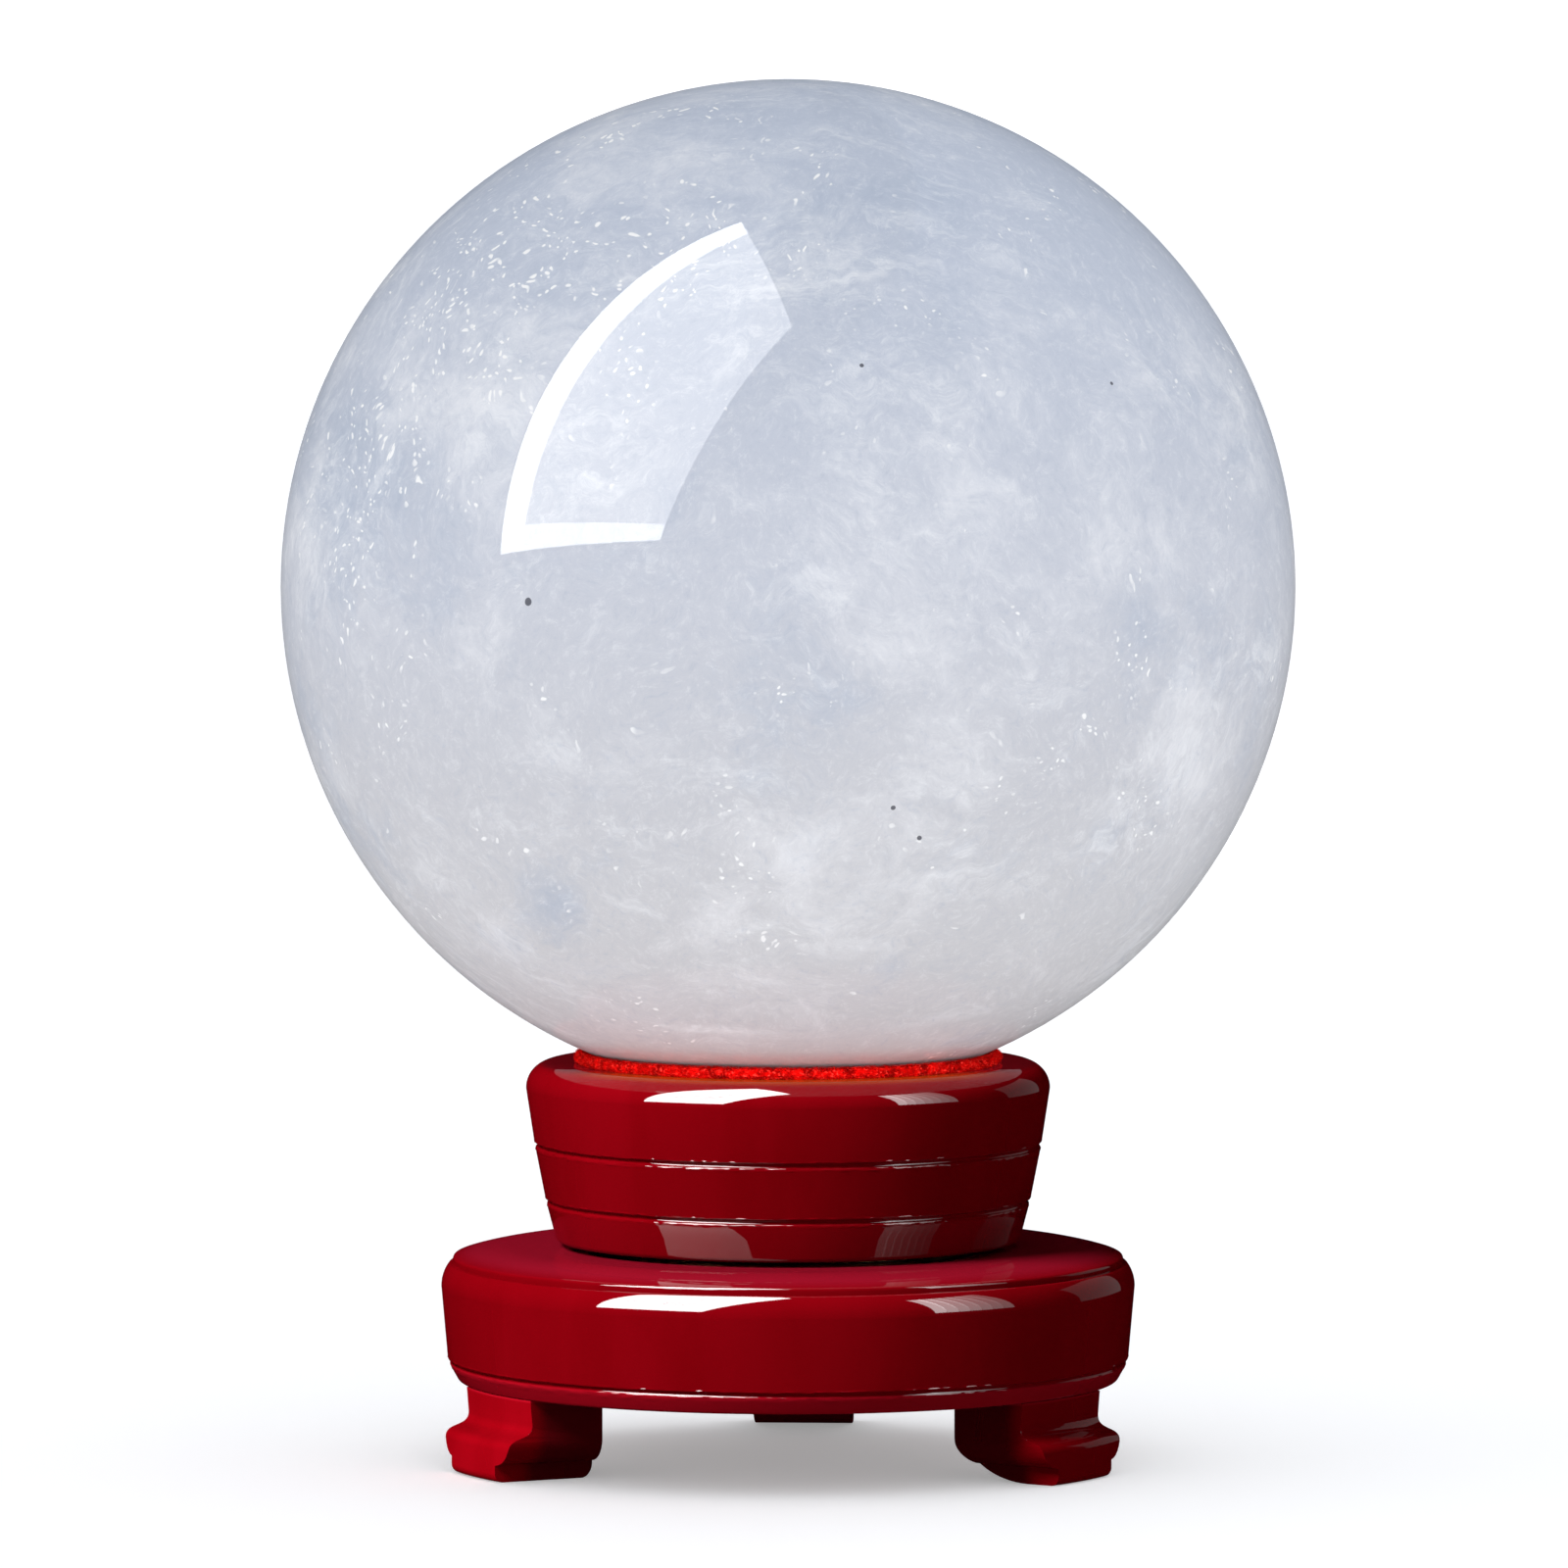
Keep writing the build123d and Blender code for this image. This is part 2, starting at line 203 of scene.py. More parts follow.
def quartz_finish():
    """Milky quartz: hazy blue-grey body with painted shading, combed white veils, needles, painted glints
    and a few pits.
    """
    finish = Finish("milky_quartz")
    centred = finish.mapped(shift=(0, 0, -ball_centre.z))
    warp = finish.noise(30, detail=5, roughness=0.6, of=centred, output="Color")
    warped = finish.moved(centred, warp, 0.020)
    fine_warp = finish.noise(190, detail=3, of=centred, output="Color")
    combed = finish.moved(warped, fine_warp, 0.003)

    # painted shading: the body is painted darker and cooler at the top and lighter and warmer near the seat,
    # standing in for light bounced up from the floor and the red glow of the pad
    height = finish.between(finish.height(), ball_low[2], ball_high[2])
    colour = finish.node("ShaderNodeValToRGB", {"stops": [
        (0.0, (0.672, 0.668, 0.678)), (0.22, (0.628, 0.629, 0.660)), (0.55, (0.628, 0.650, 0.717)),
        (1.0, (0.546, 0.597, 0.705))]}, {"Fac": height})

    # clearer, bluer stone, and the broad clouds that gather beside it
    opened = finish.near(on_ball(-23, -29), 0.008) + finish.near(on_ball(-39, 9), 0.016) * 0.6
    opened = opened + finish.near(on_ball(4, 36), 0.024) * 0.6 + finish.near(on_ball(38, -2), 0.014) * 0.5
    clear_noise = finish.noise(36, detail=9, roughness=0.72, of=finish.mapped(shift=(3, 1, 2), of=warped))
    clear = finish.between(clear_noise + opened * 0.16, 0.50, 0.74)
    colour = finish.blend(clear * 0.55, colour, (0.42, 0.49, 0.61))
    gathered = finish.near(on_ball(20, -4), 0.024) * 0.5 + finish.near(on_ball(38, -14), 0.016) * 0.7
    gathered = gathered + finish.near(on_ball(9, -20), 0.022) * 0.6
    gathered = gathered + finish.near(on_ball(-30, 24), 0.030) * 0.4
    cloud_noise = finish.noise(42, detail=10, roughness=0.70, of=warped)
    clouds = finish.between(cloud_noise + gathered * 0.14, 0.48, 0.80)
    colour = finish.blend(clouds * 0.75, colour, (0.96, 0.96, 0.98))

    # brushed veils, combed three ways
    veils = (((20, 35, 0), 150, 0.55), ((70, -20, 40), 230, 0.45), ((-30, 60, 80), 320, 0.45))
    for turn, scale, strength in veils:
        streaks = finish.noise(scale, detail=8, roughness=0.78, distortion=0.4,
                               of=finish.mapped(scale=(0.14, 1, 0.6), turn=turn, of=combed))
        veil = finish.between(streaks, 0.50, 0.70)
        patchy = finish.noise(48, detail=4, of=finish.mapped(shift=turn, of=centred))
        patch = finish.between(patchy, 0.42, 0.64)
        colour = finish.blend(veil * patch * strength, colour, (0.97, 0.98, 1.0))

    # grain of the haze, light and dark
    grain = finish.noise(850, detail=6, roughness=0.85, of=combed)
    colour = finish.blend(finish.between(grain, 0.50, 0.68) * 0.30, colour, (0.97, 0.98, 1.0))
    colour = finish.blend(finish.between(grain, 0.48, 0.30) * 0.30, colour, (0.40, 0.46, 0.57))

    # needles lying two ways, and painted glints of two sizes (white specks painted in as sparkle off the
    # stone), all thickest on the shoulder
    shoulder = finish.near(on_ball(-22, 34), 0.038) + finish.near(on_ball(-42, 12), 0.026)
    shoulder = shoulder + finish.near(on_ball(33, -8), 0.016) * 0.8
    needles_and_painted_glints = ((620, (1, 0.10, 0.5), (10, 35, 20), 0.72, 0.085),
             (540, (0.10, 1, 0.6), (0, 65, -30), 0.76, 0.08),
             (1500, (1, 0.7, 1), (0, 0, 0), 0.74, 0.42),
             (900, (1, 0.5, 1), (60, 20, 0), 0.84, 0.32))
    for index, (scale, stretch, turn, rarity, size) in enumerate(needles_and_painted_glints):
        spread = finish.mapped(scale=stretch, turn=turn, shift=(index, 0, 0), of=combed)
        shade = finish.cells(scale, of=spread, output="Color")
        lot = finish.node("ShaderNodeSeparateColor", None, {"Color": shade})
        patchy = finish.noise(110, detail=4, of=finish.mapped(shift=(0, index, 0), of=centred))
        thick = patchy + shoulder * 0.17
        # the first two rows make needles; the last two make painted glints, white painted highlights
        needle_and_glint = lot.above(rarity) * finish.between(finish.cells(scale, of=spread), size, size * 0.55)
        colour = finish.blend(needle_and_glint * finish.between(thick, 0.57, 0.68), colour, (1.0, 1.0, 1.0))

    # a few dark pits, from how far they lie across and up in mm, and their radius in mm
    pits = finish.noise(1400, detail=2, of=centred)
    places = ((-24.7, 0.5, 0.36), (31, 21, 0.18), (10, -19, 0.22), (12.5, -22, 0.25), (7, 23, 0.2))
    for across, up, radius in places:
        pit = finish.between(finish.near(on_ball(across, up), radius * MM * 2) + pits * 0.5, 0.66, 0.80)
        colour = finish.blend(pit * 0.85, colour, (0.06, 0.06, 0.08))
    polish = finish.noise(1700, detail=4, roughness=0.8)
    return finish.surface(Base_Color=colour, Roughness=0.35, IOR=1.5, Specular_IOR_Level=0.0,
                          Coat_Weight=0.45, Coat_Roughness=0.012, Coat_IOR=1.5, Transmission_Weight=0.06,
                          Normal=finish.bump(polish, 0.009 * MM))


def lacquer_finish():
    """Dark cherry lacquer over turned wood, thick and a little uneven."""
    finish = Finish("cherry_lacquer")
    grain = finish.noise(90, detail=6, roughness=0.6, distortion=0.6, of=finish.mapped(scale=(1, 1, 0.25)))
    colour = finish.blend(finish.between(grain, 0.32, 0.7), (0.053, 0.0001, 0.0008), (0.061, 0.0002, 0.0011))

    # painted reflection: the disc's top is painted lighter and purple, standing in for the ball and the
    # bright room reflected in it
    above, below = finish.height() - (disc_top_z - 1.1 * MM), (disc_top_z + 0.35 * MM) - finish.height()
    painted_top_reflection = finish.between(above, 0.0, 0.8 * MM) * below.above(0.0)
    colour = finish.blend(painted_top_reflection * 0.8, colour, (0.076, 0.0016, 0.0055))

    # painted light and shade on the flat of the rim: orange-brown at the front, standing in for the red
    # pad's light coming through the ball, and darker at its sides, painted shade under the ball
    rim = finish.between(finish.height(), cup_rim_z - 0.7 * MM, cup_rim_z - 0.15 * MM)
    rim = rim * finish.between(finish.radius(), 24.9 * MM, 24.0 * MM)
    front = finish.between(finish.depth(), -9 * MM, -17 * MM)
    colour = finish.blend(rim * front * 0.9, colour, (0.085, 0.009, 0.0007))
    colour = finish.blend(rim * (1 - front) * 0.75, colour, (0.022, 0.0008, 0.0016))

    # painted light and shade: the disc's lowest band is painted lighter, as if more lit, and the feet are
    # painted darker towards the middle, painted shade under the disc
    band = finish.between(finish.height(), disc_low[2] + 1.9 * MM, disc_low[2] + 1.6 * MM)
    band = band * finish.between(finish.height(), disc_low[2] - 0.3 * MM, disc_low[2])
    colour = finish.blend(band * 0.85, colour, (0.100, 0.0010, 0.0034))
    inside = finish.between(finish.height(), disc_low[2], disc_low[2] - 0.3 * MM)
    inside = inside * finish.between(finish.radius(), 32.5 * MM, 30.5 * MM)
    colour = finish.blend(inside * 0.75, colour, (0.014, 0.0005, 0.0011))
    ripple = finish.noise(120, detail=2, roughness=0.4)
    peel = finish.noise(1100, detail=2)
    return finish.surface(Base_Color=colour, Roughness=0.5, Specular_IOR_Level=0.0,
                          Coat_Weight=0.6, Coat_Roughness=0.02, Coat_IOR=1.5,
                          Normal=finish.bump(ripple + peel * 0.08, 0.04 * MM))


def flock_finish():
    """Vivid red flock: fibres of slightly different reds with pinkish tips."""
    finish = Finish("red_flock")
    clumps = finish.noise(900, detail=4, roughness=0.7)
    specks = finish.noise(3600, detail=2)
    colour = finish.blend(finish.between(clumps, 0.3, 0.7), (0.11, 0.0004, 0.0004), (0.50, 0.0018, 0.0013))
    colour = finish.blend(finish.between(specks, 0.56, 0.72) * 0.7, colour, (0.75, 0.040, 0.028))
    return finish.surface(Base_Color=colour, Roughness=0.95, Specular_IOR_Level=0.0, Sheen_Weight=0.02,
                          Sheen_Roughness=0.5, Sheen_Tint=(1.0, 0.1, 0.08, 1.0),
                          Normal=finish.bump(specks + clumps, 0.3 * MM))


def metal_finish(name, colour, dark, roughness, scratch=0.02 * MM):
    """Metal with darker worn patches and scratches of a depth in metres."""
    finish = Finish(name)
    wear = finish.noise(700, detail=5, roughness=0.6)
    tone = finish.blend(finish.between(wear, 0.35, 0.7), dark, colour)
    shine = finish.between(wear, 0.3, 0.75, roughness * 0.8, roughness * 1.3)
    normal = finish.bump(finish.noise(2600, detail=2), scratch)
    return finish.surface(Base_Color=tone, Metallic=1.0, Roughness=shine, Normal=normal)


def bare_wood_finish():
    """Plain beech with its grain along Z."""
    finish = Finish("beech_dowel")
    grain = finish.noise(500, detail=5, roughness=0.6, distortion=0.3, of=finish.mapped(scale=(1, 1, 0.1)))
    colour = finish.blend(finish.between(grain, 0.35, 0.7), (0.42, 0.25, 0.12), (0.62, 0.43, 0.24))
    return finish.surface(Base_Color=colour, Roughness=0.7, Normal=finish.bump(grain, 0.1 * MM))


def floor_finish():
    """Pale studio floor, lifted a little by its own glow so that it meets the backdrop unseen."""
    finish = Finish("pale_floor")
    mottle = finish.noise(3, detail=3)
    colour = finish.blend(finish.between(mottle, 0.3, 0.7), (0.86, 0.86, 0.87), (0.90, 0.90, 0.905))
    return finish.surface(Base_Color=colour, Roughness=0.85, Specular_IOR_Level=0.2,
                          Emission_Color=(1.0, 1.0, 1.0, 1.0), Emission_Strength=0.30)


# ---------------------------------------------------------------- mesh kit

def new_piece(name, mesh, finish):
    """A smooth-shaded object in the scene from a mesh and one finish."""
    piece = bpy.data.objects.new(name, mesh)
    bpy.context.scene.collection.objects.link(piece)
    mesh.materials.append(finish)
    mesh.polygons.foreach_set("use_smooth", [True] * len(mesh.polygons))
    return piece


def turned_mesh(name, profile, steps=512):
    """A closed mesh turned about the Z axis from a profile that runs up its outside, from axis to axis.

    A third number in a point is how far lacquer beads stand out from the edge there."""
    beads_round, beads_up, bead_bias = 1400, 9000, 0.15
    mesh = bpy.data.meshes.new(name)
    points = [(0, 0, profile[0][1])]
    for step in range(steps):
        turn = math.tau * step / steps
        outwards = Vector((math.cos(turn), math.sin(turn), 0))
        for radius, height, *bead in profile[1:-1]:
            if bead:
                place = outwards * radius * beads_round + Vector((0, 0, height * beads_up))
                radius += bead[0] * max(0.0, noise.noise(place) + bead_bias)
            points.append(outwards * radius + Vector((0, 0, height)))
    points.append((0, 0, profile[-1][1]))
    rings = len(profile) - 2
    faces = []
    for step in range(steps):
        here, there = 1 + step * rings, 1 + (step + 1) % steps * rings
        faces.append((0, there, here))
        faces += [(here + i, there + i, there + i + 1, here + i + 1) for i in range(rings - 1)]
        faces.append((len(points) - 1, here + rings - 1, there + rings - 1))
    mesh.from_pydata(points, [], faces)
    mesh.update()
    return mesh


def rounded(before, corner, after, cut, bead=None, cut_after=None):
    """Profile points that round a corner off, from this far back to the same or another length past it."""
    before, corner, after = Vector(before), Vector(corner), Vector(after)
    start = corner + (before - corner).normalized() * cut
    end = corner + (after - corner).normalized() * (cut_after or cut)
    bend = [tuple(start.lerp(corner, t).lerp(corner.lerp(end, t), t)) for t in (0, 0.2, 0.4, 0.6, 0.8, 1)]
    if bead:
        bend[1:-1] = [(*point, bead) for point in bend[1:-1]]
    return bend


def groove(below, middle, above, shoulder):
    """Profile points of a small round groove at a bend of the wall, beaded, with a rounded shoulder."""
    below, middle, above = Vector(below), Vector(middle), Vector(above)
    foot = middle + (below - middle).normalized() * GROOVE
    head = middle + (above - middle).normalized() * GROOVE
    inside = middle - Vector((GROOVE, 0))
    cut, bead, hollow, support = 0.15 * MM, 0.09 * MM, 0.05 * MM, 0.12 * MM
    floor = [(inside.x + hollow, foot.y * 0.5 + inside.y * 0.5), tuple(inside),
             (inside.x + hollow, head.y * 0.5 + inside.y * 0.5)]
    support_below = foot + (below - foot).normalized() * (shoulder + support)
    support_above = head + (above - head).normalized() * (cut + support)
    return ([tuple(support_below)] + rounded(below, foot, floor[0], shoulder, bead, cut) + floor
            + rounded(floor[2], head, above, cut, bead) + [tuple(support_above)])


def rising_arc(foot, head, steps=12):
    """Profile points of an arc that leaves its foot straight up and bends in to its head."""
    run, rise = foot[0] - head[0], head[1] - foot[1]
    bend = (run**2 + rise**2) / (2 * run)
    sweep = math.atan2(rise, bend - run)
    angles = [sweep * i / steps for i in range(steps + 1)]
    return [(foot[0] - bend + bend * math.cos(angle), foot[1] + bend * math.sin(angle)) for angle in angles]


def dished(sphere, outer, steps=16):
    """Profile points of a face that follows the ball, from its outer edge to just short of the axis."""
    radii = [outer * (1 - i / steps) for i in range(steps)]
    return [(r, ball_centre.z - math.sqrt(sphere**2 - r**2)) for r in radii]


def plain_mesh(piece):
    """Makes what a piece's modifiers give its own mesh, and removes them."""
    bpy.context.view_layer.update()
    result = bpy.data.meshes.new_from_object(piece.evaluated_get(bpy.context.evaluated_depsgraph_get()))
    piece.modifiers.clear()
    piece.data = result


# ---------------------------------------------------------------- pieces

def make_ball(finish):
    """The polished ball, one even sphere."""
    mesh = bpy.data.meshes.new("quartz_ball")
    shape = bmesh.new()
    bmesh.ops.create_icosphere(shape, subdivisions=6, radius=ball_radius)
    bmesh.ops.translate(shape, verts=shape.verts, vec=ball_centre)
    shape.to_mesh(mesh)
    shape.free()
    ball = new_piece(mesh.name, mesh, finish)
    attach(ball, "ball")
    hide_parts("crystal_ball")
    return ball


def keep_smooth(piece, angle):
    """Smooth shading everywhere but across edges sharper than this."""
    piece.data.set_sharp_from_angle(angle=math.radians(angle))


def make_cup(finish):
    """The upper tier: three turned bands, a rounded rim, the dished seat and the bearing's recess."""
    plate_high, rivet_high = Vector(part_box("upper_plate")[1]), Vector(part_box("pivot_rivet")[1])
    recess, pocket = plate_high.x + RECESS_GAP, rivet_high.x + POCKET_GAP
    bottom, wide, seat = cup_low[2], cup_high[0], pad_high[0] + 0.2 * MM
    foot = (wide - 3.0 * MM, bottom)
    lower = (wide - 1.95 * MM, bottom + 4.0 * MM)
    upper = (wide - 0.85 * MM, bottom + 9.6 * MM)
    widest = (wide, cup_rim_z - 2.5 * MM)
    rim = (wide - 1.9 * MM, cup_rim_z)
    seat_sphere = ball_radius + 2.0 * MM
    seat_edge_z = ball_centre.z - math.sqrt(seat_sphere**2 - seat**2)
    profile = [(0, rivet_high.z + POCKET_GAP), (pocket, rivet_high.z + POCKET_GAP), (pocket, plate_high.z),
               (recess, plate_high.z), (recess, bottom)]
    profile += rounded((recess, bottom), foot, lower, 0.5 * MM)
    profile += groove(foot, lower, upper, 0.28 * MM) + groove(lower, upper, widest, 0.28 * MM)
    profile += rising_arc(widest, rim)
    profile += rounded(rim, (seat, cup_rim_z), (seat, seat_edge_z), 0.25 * MM)
    profile += dished(seat_sphere, seat) + [(0, ball_centre.z - seat_sphere)]
    cup = new_piece("turned_cup", turned_mesh("turned_cup", profile), finish)
    keep_smooth(cup, 50)
    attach(cup, "cup")
    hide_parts("cup")


def make_disc(finish):
    """The lower tier: a crowned disc with a stepped round edge and a narrow band at its foot."""
    plate_low, rivet_low = Vector(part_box("lower_plate")[0]), Vector(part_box("pivot_rivet")[0])
    recess, pocket = -plate_low.x + RECESS_GAP, -rivet_low.x + POCKET_GAP
    bottom, wide = disc_low[2], disc_high[0]
    foot = (wide - 1.7 * MM, bottom)
    band = (wide - 0.65 * MM, bottom + 1.9 * MM)
    widest = (wide, disc_top_z - 3.9 * MM)
    shoulder = (wide - 0.8 * MM, disc_top_z - 1.65 * MM)
    step = wide - 1.15 * MM
    crown = (wide - 7.3 * MM, disc_top_z)
    run, drop = step - crown[0], 0.95 * MM
    bend = (run**2 + drop**2) / (2 * drop)
    reaches = [run * (1 - i / 8) for i in range(9)]
    top = [(crown[0] + reach, crown[1] - bend + math.sqrt(bend**2 - reach**2)) for reach in reaches]
    side = rising_arc(widest, shoulder)
    ledge = (step, shoulder[1])
    profile = [(0, bottom)] + rounded((0, bottom), foot, band, 0.3 * MM)
    profile += groove(foot, band, widest, 0.6 * MM)
    profile += side[:-1] + rounded(side[-2], shoulder, ledge, 0.12 * MM)
    profile += [ledge] + rounded(ledge, top[0], top[1], 0.3 * MM, 0.02 * MM) + top[1:]
    profile += [(recess, disc_top_z), (recess, plate_low.z), (pocket, plate_low.z),
                (pocket, rivet_low.z - POCKET_GAP), (0, rivet_low.z - POCKET_GAP)]
    disc = new_piece("turned_disc", turned_mesh("turned_disc", profile), finish)

    # the hole for the driver that reaches the upper screws
    hole = Vector(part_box("upper_screw_1")[0]).lerp(Vector(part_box("upper_screw_1")[1]), 0.5)
    drill_mesh = bpy.data.meshes.new("drill")
    radius = 2.5 * MM
    shape = bmesh.new()
    bmesh.ops.create_cone(shape, cap_ends=True, segments=64, radius1=radius, radius2=radius, depth=0.1)
    bmesh.ops.translate(shape, verts=shape.verts, vec=(hole.x, hole.y, 0))
    shape.to_mesh(drill_mesh)
    shape.free()
    drill = bpy.data.objects.new("drill", drill_mesh)
    bpy.context.scene.collection.objects.link(drill)
    bore = disc.modifiers.new("bore", "BOOLEAN")
    bore.operation, bore.solver, bore.object = "DIFFERENCE", "EXACT", drill
    plain_mesh(disc)
    bpy.data.objects.remove(drill)
    keep_smooth(disc, 50)
    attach(disc, "base")
    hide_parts("base_disc")


def make_foot(place, finish):
    """A foot with its sawn edges softened by sanding and lacquer."""
    mesh = frame["nodes"][f"foot_{place}"].data.copy()
    mesh.name = f"carved_foot_{place}"
    mesh.materials.clear()
    shape = bmesh.new()
    shape.from_mesh(mesh)
    bmesh.ops.remove_doubles(shape, verts=shape.verts, dist=0.000001)
    bmesh.ops.dissolve_limit(shape, angle_limit=math.radians(0.5), verts=shape.verts, edges=shape.edges)
    shape.to_mesh(mesh)
    shape.free()
    foot = new_piece(mesh.name, mesh, finish)
    keep_smooth(foot, 30)
    soften = foot.modifiers.new("soften", "BEVEL")
    soften.limit_method, soften.angle_limit = "ANGLE", math.radians(32)
    soften.width, soften.segments, soften.harden_normals = 0.4 * MM, 4, True
    plain_mesh(foot)
    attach(foot, "base")
    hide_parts(f"foot_{place}")
    return foot


def flock_tree(finish, lowest, inner):
    """Short fibres standing on the part of the pad that is above a height and outside a radius."""
    tree = bpy.data.node_groups.new("flock_fibres", "GeometryNodeTree")
    tree.interface.new_socket("Geometry", in_out="INPUT", socket_type="NodeSocketGeometry")
    for name, kind in (("Fibres per square metre", "NodeSocketFloat"), ("Fibre length", "NodeSocketFloat"),
                       ("Fibre radius", "NodeSocketFloat"), ("Seed", "NodeSocketInt")):
        tree.interface.new_socket(name, in_out="INPUT", socket_type=kind)
    tree.interface.new_socket("Geometry", in_out="OUTPUT", socket_type="NodeSocketGeometry")

    def node(kind, values=None, output=0, **settings):
        """A node's output; values and links go in by the name or number of the input."""
        made = tree.nodes.new(kind)
        for name, setting in settings.items():
            setattr(made, name, setting)
        for name, value in (values or {}).items():
            if isinstance(value, bpy.types.NodeSocket):
                tree.links.new(value, made.inputs[name])
            else:
                made.inputs[name].default_value = value
        return made.outputs[output] if output is not None else made.outputs

    # the faces that show
    given = node("NodeGroupInput", output=None)
    place = node("GeometryNodeInputPosition")
    level = node("ShaderNodeVectorMath", {0: place, 1: (1, 1, 0)}, operation="MULTIPLY")
    radius = node("ShaderNodeVectorMath", {0: level}, "Value", operation="LENGTH")
    height = node("ShaderNodeSeparateXYZ", {"Vector": place}, "Z")
    high = node("ShaderNodeMath", {0: height, 1: lowest}, operation="GREATER_THAN")
    outer = node("ShaderNodeMath", {0: radius, 1: inner}, operation="GREATER_THAN")
    shown = node("ShaderNodeMath", {0: high, 1: outer}, operation="MULTIPLY")

    # three-sided fibres, each with its own lean and length
    spread = node("GeometryNodeDistributePointsOnFaces",
                  {"Mesh": given[0], "Selection": shown, "Density": given["Fibres per square metre"],
                   "Seed": given["Seed"]}, None)
    fibre = node("GeometryNodeMeshCone",
                 {"Vertices": 3, "Radius Top": 0.0, "Radius Bottom": given["Fibre radius"],
                  "Depth": given["Fibre length"]}, "Mesh")
    least, most = (-0.7, -0.7, -3.1), (0.7, 0.7, 3.1)
    angles = node("FunctionNodeRandomValue", {0: least, 1: most, "Seed": given["Seed"]},
                  data_type="FLOAT_VECTOR")
    tilt = node("FunctionNodeEulerToRotation", {"Euler": angles})
    lean = node("FunctionNodeRotateRotation", {"Rotation": spread["Rotation"], "Rotate By": tilt},
                rotation_space="LOCAL")
    size = node("FunctionNodeRandomValue", {2: 0.5, 3: 1.0, "Seed": given["Seed"]}, 1, data_type="FLOAT")
    planted = node("GeometryNodeInstanceOnPoints",
                   {"Points": spread["Points"], "Instance": fibre, "Rotation": lean, "Scale": size})

    # one mesh of the fibres and the pad they stand on
    joined = tree.nodes.new("GeometryNodeJoinGeometry")
    tree.links.new(planted, joined.inputs[0])
    tree.links.new(given[0], joined.inputs[0])
    real = node("GeometryNodeRealizeInstances", {"Geometry": joined.outputs[0]})
    dressed = node("GeometryNodeSetMaterial", {"Geometry": real, "Material": finish})
    tree.links.new(dressed, tree.nodes.new("NodeGroupOutput").inputs["Geometry"])
    return tree


def make_pad(finish):
    """The flocked pad: dished to the ball, with a soft uneven edge and a nap of short fibres."""
    outer = pad_high[0] - 0.05 * MM
    top_sphere, bottom_sphere = ball_radius + 0.2 * MM, ball_radius + 1.85 * MM
    at_rim = (outer, cup_rim_z)
    bulge = (outer + 0.45 * MM, cup_rim_z + 0.35 * MM)
    edge = (outer + 0.35 * MM, pad_high[2] + 0.2 * MM)
    wall_z = ball_centre.z - math.sqrt(bottom_sphere**2 - outer**2)
    underside = [(r, z) for r, z in reversed(dished(bottom_sphere, outer))]
    profile = [(0, ball_centre.z - bottom_sphere)] + underside[:-1] + [(outer, wall_z)]
    face = dished(top_sphere, outer, 40)
    profile += [at_rim] + rounded(at_rim, bulge, edge, 0.25 * MM, 0.10 * MM)
    profile += rounded(bulge, edge, face[1], 0.4 * MM, 0.12 * MM)
    profile += [point for point in face if point[0] < outer - 1.2 * MM] + [(0, ball_centre.z - top_sphere)]
    pad = new_piece("flocked_pad", turned_mesh("flocked_pad", profile, 384), finish)
    nap = pad.modifiers.new("nap", "NODES")
    nap.node_group = flock_tree(finish, cup_rim_z - 0.3 * MM, outer - 1.6 * MM)
    choices = {"Fibres per square metre": 6.0e7, "Fibre length": 0.34 * MM, "Fibre radius": 0.035 * MM,
               "Seed": 7}
    for item in nap.node_group.interface.items_tree:
        if item.item_type == "SOCKET" and item.in_out == "INPUT" and item.name in choices:
            nap[item.identifier] = choices[item.name]
    plain_mesh(pad)
    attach(pad, "cup")
    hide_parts("seat_pad")
    return pad


def dress_cad_nodes(finishes):
    """Gives each CAD node that stays on show the finish of its slot."""
    for part in frame["record"]["subparts"]:
        node = frame["nodes"][part["node"]]
        node.data.materials.clear()
        node.data.materials.append(finishes[part["material_slot"]])


# ---------------------------------------------------------------- studio

def make_floor(finish):
    """A wide pale floor under the stand, with a low wall round it too far off to show an edge."""
    reach, wall_height = 20.0, 6.0
    mesh = bpy.data.meshes.new("floor")
    shape = bmesh.new()
    bmesh.ops.create_circle(shape, cap_ends=True, segments=64, radius=reach)
    wall = bmesh.ops.extrude_edge_only(shape, edges=shape.edges[:])["geom"]
    wall_top = [part for part in wall if isinstance(part, bmesh.types.BMVert)]
    bmesh.ops.translate(shape, verts=wall_top, vec=(0, 0, wall_height))
    shape.to_mesh(mesh)
    shape.free()
    floor = new_piece("floor", mesh, finish)
    mesh.polygons.foreach_set("use_smooth", [False] * len(mesh.polygons))
    floor.visible_glossy = False
    return floor


def make_light(name, centre, across, along, size, radiance, seen_in):
    """A rectangular light whose sides run along two directions; it shines away from across x along.

    It is seen either in the glossy or in the diffuse part of the finishes."""
    across, along = Vector(across).normalized(), Vector(along).normalized()
    outwards = across.cross(along).normalized()
    lamp = bpy.data.lights.new(name, "AREA")
    lamp.shape = "RECTANGLE"
    lamp.size, lamp.size_y = size
    lamp.energy = radiance * math.pi * size[0] * size[1]
    light = bpy.data.objects.new(name, lamp)
    turn = Matrix((across, outwards.cross(across), outwards)).transposed().to_4x4()
    light.matrix_world = Matrix.Translation(centre) @ turn
    light.visible_diffuse = seen_in == "diffuse"
    light.visible_glossy = seen_in == "glossy"
    light.visible_camera = False
    bpy.context.scene.collection.objects.link(light)
    return light


def flag(light, name, pieces, state):
    """Keeps a light off these pieces and lets it pass through them, or keeps it on them alone."""
    group = bpy.data.collections.new(name)
    for piece in pieces:
        group.objects.link(piece)
    light.light_linking.receiver_collection = group
    if state == "EXCLUDE":
        light.light_linking.blocker_collection = group
    for entry in group.collection_objects:
        entry.light_linking.link_state = state


